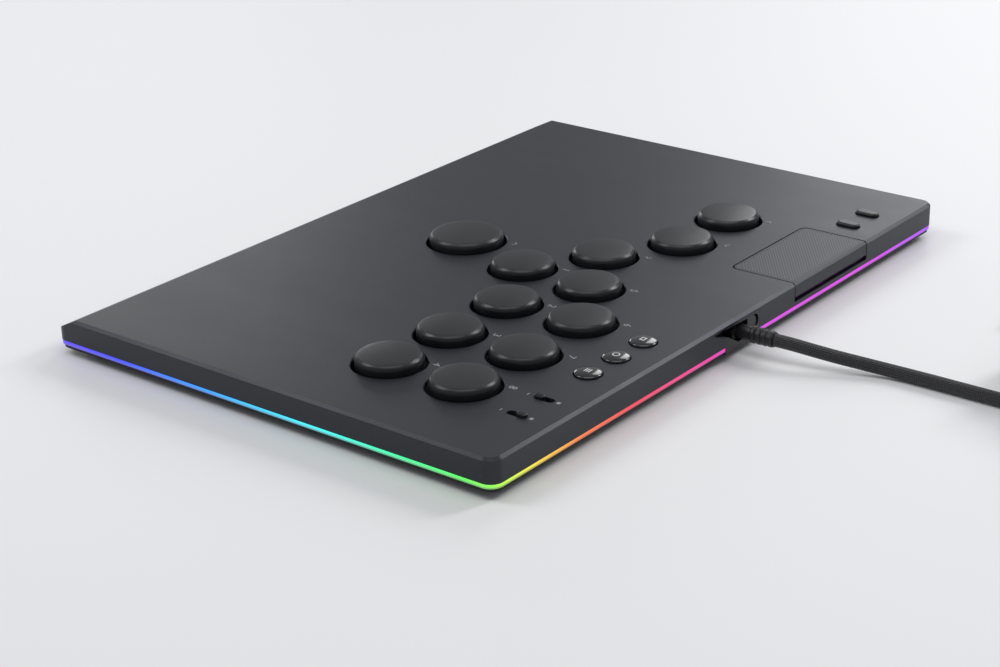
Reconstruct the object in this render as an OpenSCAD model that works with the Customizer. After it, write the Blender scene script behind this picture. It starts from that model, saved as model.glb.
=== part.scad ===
// All-button arcade controller: a slim slab with twelve main buttons, a click
// pad, small keys, two slide switches, an edge light and a plug-in cable.
// X runs to the player's right, Y away from the player and Z up. The origin
// is on the table, under the middle of the slab. Sizes are in millimetres.

/* [Slab] */
// Width of the slab, left to right
body_w = 296; // [285:1:360]
// Depth of the slab, front to back
body_d = 210; // [205:1:260]
// Height of the top face above the table
body_h = 15.2; // [15:0.1:18.5]
// Thickness of the top face and of the walls
shell_t = 1.8; // [1.5:0.1:2.2]
// Radius of the upright corners
corner_r = 5; // [3:0.5:8]
// Width of the bevel along the sides and the back
edge_bevel = 1.1; // [0.5:0.1:1.5]
// Depth of the long slope along the front edge
slope_d = 11; // [8:0.5:14]
// Drop of the long slope along the front edge
slope_h = 5.5; // [3:0.5:6]

/* [Layers under the shell] */
// Thickness of the rubber mat that the slab rests on
mat_t = 2.8; // [2:0.1:3.4]
// How far the mat stands in from the edge of the slab
mat_inset = 15; // [14.5:0.5:30]
// Thickness of the base plate
base_t = 1.4; // [1.2:0.1:1.7]
// How far the base plate stands in from the edge of the slab
base_inset = 0.8; // [0.3:0.1:1.5]
// Height of the edge light's lens
light_h = 1.6; // [1.3:0.1:2]
// Width of the edge light's lens, from its outer face inwards
light_w = 3; // [2.4:0.1:3.2]
// Thickness of the circuit board
board_t = 1.6; // [1:0.1:1.9]
// Height of the board above the base plate
board_gap = 0.9; // [0.6:0.1:1.1]

/* [Main buttons] */
// Diameter of a main button's cap
cap_d = 25; // [23.5:0.1:26]
// Diameter of the jump button's cap
jump_d = 29.9; // [25:0.1:36]
// Gap all round between a cap and its hole
cap_gap = 1.35; // [0.6:0.05:1.6]
// How far a cap stands above the top face
cap_rise = 4; // [3.3:0.1:5]
// Height of a cap, from its skirt to its crown
cap_h = 5; // [4.5:0.1:5.6]
// Wall of a cap's skirt and crown
cap_t = 1.6; // [1.2:0.1:1.8]
// How far a cap goes down
press_travel = 2.8; // [1.5:0.1:3.4]
// Radius of a button's stem
stem_r = 3; // [2.4:0.1:3.3]
// Running clearance of a stem in its housing
stem_fit = 0.06; // [0.03:0.01:0.1]
// Side of a square switch housing
house_w = 14; // [13:0.1:14.4]
// Height of a switch housing above the board
house_h = 4.3; // [3.8:0.1:4.6]

/* [Small keys] */
// Diameter of a menu key
menu_d = 10; // [8:0.1:12]
// Length of a pill key
pill_l = 9.4; // [7:0.1:12]
// Width of a pill key
pill_w = 3.9; // [3:0.1:5]
// Gap all round between a small key and its hole
key_gap = 0.4; // [0.25:0.05:0.6]
// How far a small key stands above the top face
key_rise = 1.4; // [0.8:0.1:2]
// How far a small key goes down
key_travel = 0.6; // [0.3:0.1:0.7]

/* [Slide switches] */
// Length of a slide switch's slot in the top face
slot_l = 8.4; // [8:0.1:10]
// Width of a slide switch's slot
slot_w = 3.2; // [2.6:0.1:4]
// How far a slide knob moves
slide_travel = 4; // [3:0.1:4.4]

/* [Click pad] */
// Width of the click pad
pad_w = 54.2; // [44:0.1:56]
// Depth of the click pad, from its inner edge to the back of the slab
pad_d = 29; // [24:0.1:32]
// Gap all round between the click pad and the shell
pad_gap = 0.35; // [0.25:0.05:0.5]
// Thickness of the click pad
pad_t = 1.6; // [1.2:0.1:1.8]
// How far the pad's lip hangs down the back wall
lip_h = 5.8; // [4.5:0.1:6]
// How far the pad tilts down, in degrees
pad_tilt = 1.1; // [0.6:0.1:1.2]
// Radius of the click pad's hinge pins
hinge_r = 1; // [0.8:0.1:1.1]
// Running clearance of a hinge pin in the shell's ear
hinge_fit = 0.06; // [0.03:0.01:0.1]

/* [Port and cable] */
// Width of the port block in the back wall
port_w = 23.2; // [22:0.1:26]
// Width of the plug's moulded head
plug_w = 9.4; // [9:0.1:10]
// Height of the plug's moulded head
plug_h = 5.6; // [5:0.1:5.8]
// How far the cable lock slides
lock_travel = 1.7; // [1.2:0.1:1.9]
// Diameter of the cable
cable_d = 5; // [4.6:0.1:5.2]

/* [Hidden] */
$fn = 64;
e = 0.01;              // overlap that joins two shapes of one solid

// Middles of the main buttons
left_at = [-80.6, 46.6];
down_at = [-47.4, 46.2];
right_at = [-17.9, 29.1];
jump_at = [-1.1, -27];
front_row = [[10.1, 10.2], [42.4, 27.8], [75.7, 27.9], [108.3, 26.9]];
rear_row = [[12.6, 44.1], [41.2, 61.3], [75.6, 61.6], [108, 60.6]];
small_buttons = concat([left_at, down_at, right_at], front_row, rear_row);
all_buttons = concat(small_buttons, [jump_at]);

// The back edge carries the keys, the slides, the pad and the port
back = body_d / 2;
key_row = back - 15.2;
menu_x = [75.8, 59, 42.4];
pill_x = [-118.3, -102.8];
slide_x = [115.8, 100.8];
pad_x = -63.9;

// Heights of the layers
base_top = mat_t + base_t;
wall_z = base_top + light_h;
ceiling = body_h - shell_t;
board_z = base_top + board_gap;
board_top = board_z + board_t;
house_top = board_top + house_h;
cap_top = body_h + cap_rise;
cap_roof = cap_top - cap_t;
stem_z = house_top - 1.8;
stem_top = house_top + press_travel + 0.8;
key_top = body_h + key_rise;
flange_z = ceiling - 1.2;
flange_h = 0.9;
tact_top = board_top + 2.5;
pad_tact_top = board_top + 3.8;

// Circuit board
board_w = body_w - 40;
board_back = back - 7;
board_front = -(body_d / 2 - 29);
board_screw_at = [
  [-board_w / 2 + 8, board_front + 10], [0, board_front + 10], [board_w / 2 - 8, board_front + 10],
  [-board_w / 2 + 6, 60], [-22, board_back - 12], [24, board_back - 10], [board_w / 2 - 4, 44]
];
screw_r = 0.95;
screw_fit = 0.05;

// Screws that hold the base plate to the shell
boss_r = 2.8;
boss_in = 9.5;
boss_at = [
  for (s = [-1, 1]) each [
    [s * (body_w / 2 - boss_in), back - boss_in],
    [s * (body_w / 2 - boss_in), 0],
    [s * (body_w / 2 - boss_in), -(back - 19)],
    [s * 45, -(back - 19)]
  ]
];

// Click pad
pad_inner = back - pad_d;
hinge_y = pad_inner + 2.6;
hinge_z = ceiling - 1.9;
lug_w = 4.4;
lug_x = pad_w / 2 - 1 - lug_w / 2;
ear_w = 3.2;
ear_x = lug_x - lug_w / 2 - 0.4 - ear_w / 2;
pad_r = 3;
pad_tact_y = back - 14;
pad_foot_z = pad_tact_top + (pad_tact_y - hinge_y) * tan(pad_tilt) + 0.2;

// Port and plug
plug_z = board_top + 1.63;
neck_r = 2.8;
head_front = back - 1.8;
head_back = board_back + 0.4;
relief_end = back + 14;
scoop_x = 19.6;
lock_z0 = plug_z - 1.2;
lock_z1 = ceiling - 0.9;
lock_edge = neck_r + 0.3;
lock_tail = 8.9;
lock_t = 1.3;

// Cable: from the strain relief down to the table and along it to the coil
cable_r = cable_d / 2;
rest_z = cable_r;
cable_path = [
  [0, relief_end, plug_z], [-0.8, 126, 8], [-2.6, 134, 6.9], [-5.4, 142, 5.4], [-8.4, 150, 4],
  [-10.6, 157, 3], [-11.8, 165, rest_z], [-12, 176, rest_z], [-12, 188, rest_z],
  [-12, 200, rest_z], [-12, 212, rest_z], [-12, 222, rest_z + 0.4], [-12, 232, rest_z + 0.8]
];
// Coil: four layers of four turns beside the slab's back edge
turns_across = 4;
layers = 4;
coil_r = 27;
coil_at = [-46.5, 232];
tie_t = 0.8;
coil_in = coil_r - turns_across * cable_d / 2;
coil_out = coil_r + turns_across * cable_d / 2;
coil_top = tie_t + layers * cable_d;
// The tail comes off the top turn and down the outside of the coil to its plug
tail_r = coil_out + cable_r + 0.5;
tail_straight = 6;
tail_drop = coil_top - cable_r - rest_z;
tail_turn = [for (a = [0:12:180])
  let (t = a / 180, r = coil_out - cable_r + (tail_r - coil_out + cable_r) * min(1, t * 3))
  [coil_at.x + r * cos(a), coil_at.y + r * sin(a), rest_z + tail_drop * (1 + cos(180 * t)) / 2]
];
tail_path = concat(tail_turn, [[coil_at.x - tail_r, coil_at.y - tail_straight, rest_z]]);
host_x = coil_at.x - tail_r;
host_y = coil_at.y - tail_straight;
host_z = 4.2;
host_relief_l = 13;
host_body_l = 27;
host_shell_l = 12;
host_w = 14.6;
host_h = 7.4;

// ---------------------------------------------------------------- shapes

module round_rect(w, d, r) {
  square([w - 2 * r, d], center = true);
  square([w, d - 2 * r], center = true);
  for (x = [-1, 1], y = [-1, 1]) translate([x * (w / 2 - r), y * (d / 2 - r)]) circle(r);
}

module slab_slice(inset, z, t, r) {
  translate([0, 0, z]) linear_extrude(t) round_rect(body_w - 2 * inset, body_d - 2 * inset, r, $fn = 48);
}

// A slice that stops short at the front, on the long slope
module slope_slice(inset, front, z) {
  d = body_d - inset - front;
  translate([0, (front - inset) / 2, z - e]) linear_extrude(e)
    round_rect(body_w - 2 * inset, d, corner_r - edge_bevel / 2, $fn = 32);
}

module stadium(l, w) {
  square([w, l - w], center = true);
  for (s = [-1, 1]) translate([0, s * (l - w) / 2]) circle(w / 2);
}

// A straight-sided screw with its head down
module screw_up(head_r, head_t, l, z) {
  translate([0, 0, z]) cylinder(r = head_r, h = head_t);
  translate([0, 0, z + head_t - e]) cylinder(r = screw_r, h = l);
}

function heading(p, i) =
  let (v = p[min(i + 1, len(p) - 1)] - p[max(i - 1, 0)]) v / norm(v);
function ring(p, i, r, n) =
  let (d = heading(p, i), s = cross(d, [0, 0, 1]) / norm(cross(d, [0, 0, 1])), u = cross(s, d))
  [for (k = [0:n - 1]) p[i] + r * (cos(360 * k / n) * s + sin(360 * k / n) * u)];

// A round tube that follows a list of points
module tube(p, r, n) {
  m = len(p);
  pts = [for (i = [0:m - 1]) each ring(p, i, r, n)];
  sides = [for (i = [0:m - 2], k = [0:n - 1]) let (j = (k + 1) % n, a = i * n, b = a + n)
    each [[a + k, b + k, b + j], [a + k, b + j, a + j]]];
  first = [[for (k = [0:n - 1]) k]];
  last = [[for (k = [n - 1:-1:0]) (m - 1) * n + k]];
  polyhedron(points = pts, faces = concat(sides, first, last));
}

// ---------------------------------------------------------------- casing

module shell_blank() {
  hull() {
    slab_slice(0, wall_z, body_h - slope_h - wall_z, corner_r);
    slope_slice(0, slope_d * (1 - edge_bevel / slope_h), body_h - edge_bevel);
    slope_slice(edge_bevel, slope_d, body_h);
  }
}

module shell_hollow() {
  front = back - slope_d - shell_t;
  translate([0, 0, wall_z - 1]) linear_extrude(body_h - slope_h - shell_t - wall_z + 1)
    round_rect(body_w - 2 * shell_t, body_d - 2 * shell_t, corner_r - shell_t);
  translate([0, 0, wall_z]) linear_extrude(ceiling - wall_z)
    translate([0, (back - shell_t - front) / 2])
      round_rect(body_w - 2 * shell_t, back - shell_t + front, corner_r - shell_t);
}

module button_hole(at, d) {
  r = d / 2 + cap_gap;
  translate([at.x, at.y, ceiling - 1]) cylinder(r = r, h = shell_t + 2);
  translate([at.x, at.y, body_h - 0.4]) cylinder(r1 = r, r2 = r + 0.5, h = 0.5);
}

// Plan of the click pad, larger all round by grow, as far back as end
module pad_plan(grow, end) {
  w = pad_w + 2 * grow;
  front = pad_inner - grow;
  translate([pad_x - w / 2, front + pad_r]) square([w, end - front - pad_r]);
  translate([pad_x - w / 2 + pad_r, front]) square([w - 2 * pad_r, end - front]);
  for (s = [-1, 1]) translate([pad_x + s * (w / 2 - pad_r), front + pad_r]) circle(pad_r);
}

// Room for the pad, for the lip that hangs down the wall and a slot under it
module pad_opening() {
  w = pad_w + 2 * pad_gap;
  translate([0, 0, ceiling - 1]) linear_extrude(shell_t + 2) pad_plan(pad_gap, back + 1);
  translate([pad_x - w / 2, back - shell_t - 1, wall_z + 1.7])
    cube([w, shell_t + 2, body_h - wall_z]);
}

// Dark hollow beside the plug, which runs out to nothing along the wall
module port_scoop() {
  translate([0, back - 6.4, 0]) intersection() {
    translate([0, 7, 0]) rotate([90, 0, 0]) linear_extrude(7)
      polygon([
        [-neck_r, plug_z - 3.1], [3, plug_z - 3.1], [9.6, plug_z + 0.9],
        [scoop_x, ceiling - 0.6], [scoop_x, ceiling - 0.1], [-neck_r, ceiling - 0.9]
      ]);
    translate([scoop_x, 6.4, 0]) rotate([0, 0, 202]) translate([0, -20, 0]) cube([40, 20, 20]);
  }
}

// Ear under the shell that carries one end of the pad's hinge
module ear(x) {
  root = 5;
  difference() {
    translate([x - ear_w / 2, pad_inner - root, hinge_z - 2])
      cube([ear_w, hinge_y + 2 - pad_inner + root, ceiling - hinge_z + 2 + e]);
    translate([x, hinge_y, hinge_z]) rotate([0, 90, 0])
      cylinder(r = hinge_r + hinge_fit, h = ear_w + 2, center = true);
  }
}

module top_shell() {
  color("#2f3237") difference() {
    union() {
      difference() {
        shell_blank();
        shell_hollow();
        pad_opening();
      }
      for (p = boss_at) translate([p.x, p.y, base_top])
        cylinder(r = boss_r, h = ceiling - base_top + e);
      for (s = [-1, 1]) ear(pad_x + s * ear_x);
      translate([port_w / 2, back - 6.4, wall_z])
        cube([scoop_x + 2 - port_w / 2, 6.4 - shell_t + e, ceiling - wall_z + e]);
    }
    for (p = small_buttons) button_hole(p, cap_d);
    button_hole(jump_at, jump_d);
    for (x = menu_x) translate([x, key_row, ceiling - 1])
      cylinder(r = menu_d / 2 + key_gap, h = shell_t + 2);
    for (x = pill_x) translate([x, key_row, ceiling - 1]) linear_extrude(shell_t + 2)
      stadium(pill_l + 2 * key_gap, pill_w + 2 * key_gap);
    for (x = slide_x) translate([x, key_row, ceiling - 1]) linear_extrude(shell_t + 2)
      stadium(slot_l, slot_w);
    for (p = boss_at) translate([p.x, p.y, base_top - 1])
      cylinder(r = screw_r + screw_fit, h = 8.2);
    translate([-port_w / 2, back - 6.6, wall_z - 1]) cube([port_w, 8, ceiling - wall_z + 1]);
    port_scoop();
  }
}

module base_plate() {
  color("#1d1f22") difference() {
    union() {
      translate([0, 0, mat_t]) linear_extrude(base_t)
        round_rect(body_w - 2 * base_inset, body_d - 2 * base_inset, corner_r - base_inset);
      for (p = board_screw_at) translate([p.x, p.y, base_top - e])
        cylinder(r = 2.6, h = board_gap + e);
    }
    for (p = boss_at) translate([p.x, p.y, mat_t - 1]) {
      cylinder(r = screw_r + 0.25, h = base_t + 2);
      cylinder(r = 2.4, h = 2);
    }
    for (p = board_screw_at) translate([p.x, p.y, mat_t + 0.4])
      cylinder(r = screw_r + screw_fit, h = base_t + board_gap + 1);
    translate([-port_w / 2 - 0.1, back - 6.5, mat_t - 1]) cube([port_w + 0.2, 8, base_t + 2]);
  }
}

module grip_mat() {
  color("#141414") linear_extrude(mat_t)
    round_rect(body_w - 2 * mat_inset, body_d - 2 * mat_inset, 8);
}

// The lens and the light strip both leave a gap for the port block
module edge_frame(outer, width, z, t) {
  difference() {
    translate([0, 0, z]) linear_extrude(t) difference() {
      round_rect(body_w - 2 * outer, body_d - 2 * outer, corner_r - outer);
      round_rect(body_w - 2 * (outer + width), body_d - 2 * (outer + width), 1.5);
    }
    translate([-port_w / 2 - 0.1, back - 12, z - 1]) cube([port_w + 0.2, 14, t + 2]);
  }
}

module light_lens() {
  color("#8f6cff") edge_frame(0.1, light_w, base_top, light_h);
}

module light_strip() {
  pitch = 16.5;
  in = light_w + 0.6;
  nx = floor((body_w - 24) / pitch);
  ny = floor((body_d - 24) / pitch);
  color("white") {
    edge_frame(in, 2.7, base_top, 0.4);
    for (i = [0:nx], s = [-1, 1]) let (x = (i - nx / 2) * pitch)
      if (s < 0 || abs(x) > port_w / 2 + 3)
        translate([x - 1, s * (back - in - 1.2) - 1, base_top + 0.4 - e]) cube([2, 2, 0.8]);
    for (i = [0:ny], s = [-1, 1])
      translate([s * (body_w / 2 - in - 1.2) - 1, (i - ny / 2) * pitch - 1, base_top + 0.4 - e])
        cube([2, 2, 0.8]);
  }
}

// ---------------------------------------------------------------- electronics

module main_board() {
  color("#14361f") difference() {
    translate([-board_w / 2, board_front, board_z]) cube([board_w, board_back - board_front, board_t]);
    for (p = all_buttons) translate([p.x, p.y, board_z - 1]) cylinder(r = stem_r + 0.6, h = board_t + 2);
    for (p = board_screw_at) translate([p.x, p.y, board_z - 1]) cylinder(r = screw_r + 0.2, h = board_t + 2);
  }
}

module board_parts() {
  chips = [
    [-40, -20, 10, 10, 1.2], [-62, -22, 6, 5, 1], [-62, -10, 6, 5, 1], [30, -40, 5, 4, 1],
    [90, -30, 5, 4, 1], [-90, -30, 5, 4, 1], [0, 72, 7, 7, 1], [9.5, 78, 4, 3, 1.2]
  ];
  color("#111111") for (c = chips) translate([c[0] - c[2] / 2, c[1] - c[3] / 2, board_top])
    cube([c[2], c[3], c[4]]);
  color("silver") for (i = [0:11]) translate([-30 + i * 3.2, -2 - (i % 3) * 2.4, board_top])
    cube([1.6, 0.8, 0.8]);
  // crystal, and the plugs of the light strip's leads
  color("silver") translate([-50, -34, board_top]) cube([3.2, 2.5, 0.9]);
  color("ivory") for (s = [-1, 1]) translate([s * (board_w / 2 - 6) - 2.5, -40, board_top])
    cube([5, 8, 3.4]);
}

module switch_housings() {
  // the cut keeps a housing inside its cap's skirt
  cut = 2.2;
  color("#3a3a3c") for (p = all_buttons) translate([p.x, p.y, board_top]) difference() {
    intersection() {
      translate([-house_w / 2, -house_w / 2, 0]) cube([house_w, house_w, house_h]);
      rotate(45) cube([house_w * sqrt(2) - cut, house_w * sqrt(2) - cut, 4 * house_h], center = true);
    }
    translate([0, 0, -1]) cylinder(r = stem_r + stem_fit, h = house_h + 2);
    for (s = [-1, 1]) translate([s * house_w / 2, 0, 0.9]) cube([1.2, 5, 1], center = true);
  }
}

module return_springs() {
  wire_r = 0.22;
  coils = 3;
  steps = 8;
  bottom = house_top + wire_r + 0.05;
  rise = cap_roof - house_top - 2 * wire_r - 0.1;
  color("silver") for (p = all_buttons)
    tube([for (i = [0:coils * steps]) let (a = 360 * i / steps)
      [p.x + 4.9 * cos(a), p.y + 4.9 * sin(a), bottom + rise * i / (coils * steps)]], wire_r, 4);
}

module usb_socket() {
  l = 7.3;
  color("silver") translate([0, board_back, plug_z]) {
    difference() {
      translate([-4.47, -l, -1.63]) cube([8.94, l, 3.26]);
      translate([-4.2, -l + 0.6, -1.33]) cube([8.4, l, 2.66]);
    }
    translate([-3.3, -l + 0.3, -0.33]) cube([6.6, 5, 0.66]);
  }
}

module click_switches() {
  color("#26282b") for (x = concat(menu_x, pill_x)) translate([x, key_row, board_top]) {
    translate([-3, -3, 0]) cube([6, 6, 2.1]);
    cylinder(r = 1.5, h = tact_top - board_top);
  }
  color("#26282b") translate([pad_x, pad_tact_y, board_top]) {
    translate([-3, -3, 0]) cube([6, 6, 3.2]);
    cylinder(r = 1.6, h = pad_tact_top - board_top);
  }
}

module slide_switch_bodies() {
  color("#26282b") for (x = slide_x) translate([x, key_row, board_top]) difference() {
    translate([-3.6, -7, 0]) cube([7.2, 14, 3.4]);
    translate([-1.1, -5.2, 1.4]) cube([2.2, 10.4, 3]);
  }
}

module board_screws() {
  color("silver") for (p = board_screw_at) translate([p.x, p.y, board_top])
    mirror([0, 0, 1]) screw_up(1.9, 1, board_t + board_gap + 0.4, -1);
}

module case_screws() {
  color("#33363a") for (p = boss_at) translate([p.x, p.y, 0])
    screw_up(2.1, 0.9, 7.2, mat_t + 0.1);
}

// ---------------------------------------------------------------- buttons

// Half outline of a cap: a low crown, a round shoulder, the skirt and the hollow
function cap_outline(r) = let (sh = 1.5, dish = 0.35) concat(
  [[0, 0]],
  [for (i = [1:4]) let (x = (r - sh) * i / 4) [x, -dish * pow(i / 4, 2)]],
  [for (a = [75:-15:0]) [r - sh + sh * cos(a), -dish - sh + sh * sin(a)]],
  [[r, -cap_h], [r - cap_t, -cap_h], [r - cap_t, -cap_t - 0.9], [r - cap_t - 0.9, -cap_t], [0, -cap_t]]
);

module button_cap(at, d) {
  color("#101113") translate([at.x, at.y, 0]) {
    translate([0, 0, cap_top]) rotate_extrude() polygon(cap_outline(d / 2));
    difference() {
      translate([0, 0, stem_top]) cylinder(r = stem_r + 0.9, h = cap_roof - stem_top + e);
      translate([0, 0, stem_top - 1]) cylinder(r = stem_r - 1 + 0.02, h = cap_roof - stem_top);
    }
  }
}

module button_stem(at) {
  color("#b8322a") translate([at.x, at.y, 0]) {
    translate([0, 0, stem_z]) cylinder(r = stem_r, h = stem_top - stem_z);
    translate([0, 0, stem_top - e]) cylinder(r = stem_r - 1, h = cap_roof - stem_top - 1.3);
  }
}

module key_foot() {
  translate([0, 0, tact_top + key_travel + 0.2]) cylinder(r = 1.5, h = flange_z - tact_top - key_travel);
}

module menu_key(x) {
  r = menu_d / 2;
  dome = 0.7;
  color("#15171a") translate([x, key_row, 0]) {
    rotate_extrude() polygon(concat(
      [[0, flange_z], [r + 1.1, flange_z], [r + 1.1, flange_z + flange_h], [r, flange_z + flange_h]],
      [for (i = [0:6]) let (a = 90 * i / 6) [r * cos(a), key_top - dome + dome * sin(a)]]
    ));
    key_foot();
  }
}

module pill_key(x) {
  bevel = 0.5;
  color("#101113") translate([x, key_row, 0]) {
    translate([0, 0, flange_z]) linear_extrude(flange_h) stadium(pill_l + 1.8, pill_w + 1.8);
    translate([0, 0, flange_z]) linear_extrude(key_top - bevel - flange_z) stadium(pill_l, pill_w);
    hull() {
      translate([0, 0, key_top - bevel - e]) linear_extrude(e) stadium(pill_l, pill_w, $fn = 32);
      translate([0, 0, key_top - e]) linear_extrude(e)
        stadium(pill_l - 2 * bevel, pill_w - 2 * bevel, $fn = 32);
    }
    key_foot();
  }
}

module slide_knob(x, at) {
  neck_l = slot_l - slide_travel - 0.4;
  neck_w = slot_w - 0.5;
  color("#101113") translate([x, key_row + at * slide_travel / 2, 0]) {
    translate([0, 0, body_h - shell_t / 2]) {
      linear_extrude(shell_t / 2 + 0.3) stadium(neck_l, neck_w);
      for (i = [-1:1]) translate([0, i * 1.2, shell_t / 2 + 0.5]) cube([neck_w * 0.8, 0.6, 1], center = true);
    }
    translate([0, 0, flange_z]) linear_extrude(body_h - shell_t / 2 - flange_z + e) stadium(neck_l, neck_w);
    translate([-slot_w / 2 - 1, -slot_l / 2 - 2.2, flange_z]) cube([slot_w + 2, slot_l + 4.4, flange_h]);
    translate([-0.8, -0.9, board_top + 1.8]) cube([1.6, 1.8, flange_z - board_top - 1.8 + e]);
  }
}

// ---------------------------------------------------------------- click pad

module click_pad() {
  lip_t = shell_t - 0.2;
  color("#2f3237") {
    difference() {
      union() {
        translate([0, 0, body_h - pad_t]) linear_extrude(pad_t) pad_plan(0, back);
        translate([pad_x - pad_w / 2, back - lip_t, body_h - lip_h])
          cube([pad_w, lip_t, lip_h - pad_t / 2]);
      }
      translate([pad_x, back - edge_bevel, body_h]) rotate([-45, 0, 0])
        translate([-pad_w / 2 - 1, -4, 0]) cube([pad_w + 2, 8, 4]);
    }
    for (s = [-1, 1]) difference() {
      translate([pad_x + s * lug_x - lug_w / 2, hinge_y - 1.8, hinge_z - 1.8])
        cube([lug_w, 3.6, body_h - pad_t - hinge_z + 1.8 + e]);
      translate([pad_x + s * lug_x, hinge_y, hinge_z]) rotate([0, 90, 0])
        cylinder(r = hinge_r + 0.01, h = lug_w + 2, center = true);
    }
    translate([pad_x, pad_tact_y, pad_foot_z]) cylinder(r = 2, h = body_h - pad_t - pad_foot_z + e);
  }
}

module pad_hinge_pins() {
  l = lug_w + ear_w + 0.4;
  color("silver") for (s = [-1, 1])
    translate([pad_x + s * (lug_x + lug_w / 2 - l / 2), hinge_y, hinge_z]) rotate([0, 90, 0])
      cylinder(r = hinge_r, h = l, center = true);
}

// ---------------------------------------------------------------- port and cable

module lock_plate(grow, tail) {
  r = (lock_z1 - lock_z0) / 2 + grow;
  mid = (lock_z0 + lock_z1) / 2;
  translate([0, back, 0]) rotate([90, 0, 0]) linear_extrude(lock_t + grow) {
    translate([-tail + r, mid]) circle(r);
    translate([-tail + r, mid - r]) square([tail - r - lock_edge + grow, 2 * r]);
  }
}

module port_block() {
  color("#2a2d31") difference() {
    union() {
      translate([-port_w / 2 + 0.1, back - 6.4, wall_z]) cube([port_w - 0.2, 6.4, ceiling - wall_z - 0.1]);
      translate([-port_w / 2 + 0.1, back - 6.4, mat_t + 0.1])
        cube([port_w - 0.2, 6.3, wall_z - mat_t]);
    }
    // room for the plug's head, then for its neck
    translate([-plug_w / 2 - 0.5, back - 8, plug_z - plug_h / 2 - 0.3])
      cube([plug_w + 1, 8 - lock_t - 0.2, plug_h + 0.6]);
    translate([-neck_r - 0.3, back - 3, plug_z - neck_r - 0.3])
      cube([2 * neck_r + 0.6, 4, 2 * neck_r + 0.6]);
    translate([-plug_w / 2 - 0.5, back - 4, lock_z0 - 0.1])
      cube([plug_w / 2, 5, lock_z1 - lock_z0]);
    lock_plate(0.1, lock_tail + lock_travel + 0.1);
    port_scoop();
  }
}

module cable_lock() {
  color("#2a2d31") lock_plate(0, lock_tail);
}

module plug_shell() {
  color("silver") translate([0, board_back - 6.2, plug_z]) rotate([-90, 0, 0])
    linear_extrude(head_back - board_back + 6.2) difference() {
      stadium_flat(8.2, 2.4);
      stadium_flat(7.4, 1.6);
    }
}

module stadium_flat(w, h) {
  square([w - h, h], center = true);
  for (s = [-1, 1]) translate([s * (w - h) / 2, 0]) circle(h / 2);
}

module plug_head() {
  color("#141516") {
    translate([0, head_back, plug_z]) rotate([-90, 0, 0])
      linear_extrude(head_front - head_back) stadium_flat(plug_w, plug_h);
    translate([0, head_front - e, plug_z]) rotate([-90, 0, 0]) cylinder(r = neck_r, h = 6 + e);
  }
}

// Ringed sleeve between the plug and the cable
module strain_relief() {
  start = head_front + 6;
  rings = 4;
  pitch = (relief_end - start) / rings;
  color("#141516") translate([0, start, plug_z]) rotate([-90, 0, 0]) {
    cylinder(r = cable_r + 0.2, h = relief_end - start);
    for (i = [0:rings - 1]) translate([0, 0, i * pitch + 0.4])
      cylinder(r1 = 3.3 - 0.08 * i, r2 = 3.2 - 0.08 * i, h = pitch - 1);
  }
}

module cable() {
  color("#232427") tube(cable_path, cable_r, 10);
}

module cable_coil() {
  color("#232427") translate([coil_at.x, coil_at.y, tie_t]) rotate_extrude()
    translate([coil_in, 0]) square([coil_out - coil_in, coil_top - tie_t]);
}

module cable_tail() {
  color("#232427") tube(tail_path, cable_r, 10);
}

// Strap round the bundle of turns, on the side away from the slab
module cable_tie() {
  w = 9;
  color("#101010") translate([coil_at.x, coil_at.y, 0]) rotate(-45)
    translate([coil_in - tie_t, -w / 2, 0]) difference() {
      cube([coil_out - coil_in + 2 * tie_t, w, coil_top + tie_t]);
      translate([tie_t, -1, tie_t]) cube([coil_out - coil_in, w + 2, coil_top - tie_t]);
    }
}

module host_plug_relief() {
  color("#141516") translate([host_x, host_y, rest_z]) hull() {
    rotate([90, 0, 0]) cylinder(r = cable_r + 0.3, h = 1, $fn = 32);
    translate([0, -host_relief_l + 1, host_z - rest_z]) rotate([90, 0, 0]) cylinder(r = 3.4, h = 1, $fn = 32);
  }
}

module host_plug_body() {
  translate([host_x, host_y - host_relief_l, host_z]) rotate([90, 0, 0])
    color("#141516") linear_extrude(host_body_l) round_rect(host_w, host_h, 1.6);
}

module host_plug_shell() {
  color("silver") translate([host_x, host_y - host_relief_l - host_body_l, host_z]) rotate([90, 0, 0])
    linear_extrude(host_shell_l) difference() {
      square([12, 4.5], center = true);
      translate([0, 0.95]) square([11.4, 2], center = true);
    }
}

// ---------------------------------------------------------------- nodes

top_shell();
base_plate();
grip_mat();
light_lens();
light_strip();
main_board();
board_parts();
usb_socket();
port_block();
cable_lock();
click_pad();
pad_hinge_pins();
switch_housings();
return_springs();
button_cap(left_at, cap_d);  // left_cap
button_cap(down_at, cap_d);  // down_cap
button_cap(right_at, cap_d);  // right_cap
button_cap(jump_at, jump_d);  // jump_cap
for (i = [0:3]) {
  button_cap(front_row[i], cap_d);
  button_cap(rear_row[i], cap_d);
  button_stem(front_row[i]);
  button_stem(rear_row[i]);
}
button_stem(left_at);  // left_stem
button_stem(down_at);  // down_stem
button_stem(right_at);  // right_stem
button_stem(jump_at);  // jump_stem
for (i = [0:2]) menu_key(menu_x[i]);
for (i = [0:1]) pill_key(pill_x[i]);
slide_knob(slide_x[0], 1);  // slide_knob_1
slide_knob(slide_x[1], -1);  // slide_knob_2
slide_switch_bodies();
click_switches();
case_screws();
board_screws();
cable();
cable_coil();
cable_tail();
cable_tie();
plug_head();
plug_shell();
strain_relief();
host_plug_body();
host_plug_shell();
host_plug_relief();
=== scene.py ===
import math

import bmesh
import bpy
from mathutils import Matrix, Vector


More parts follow.
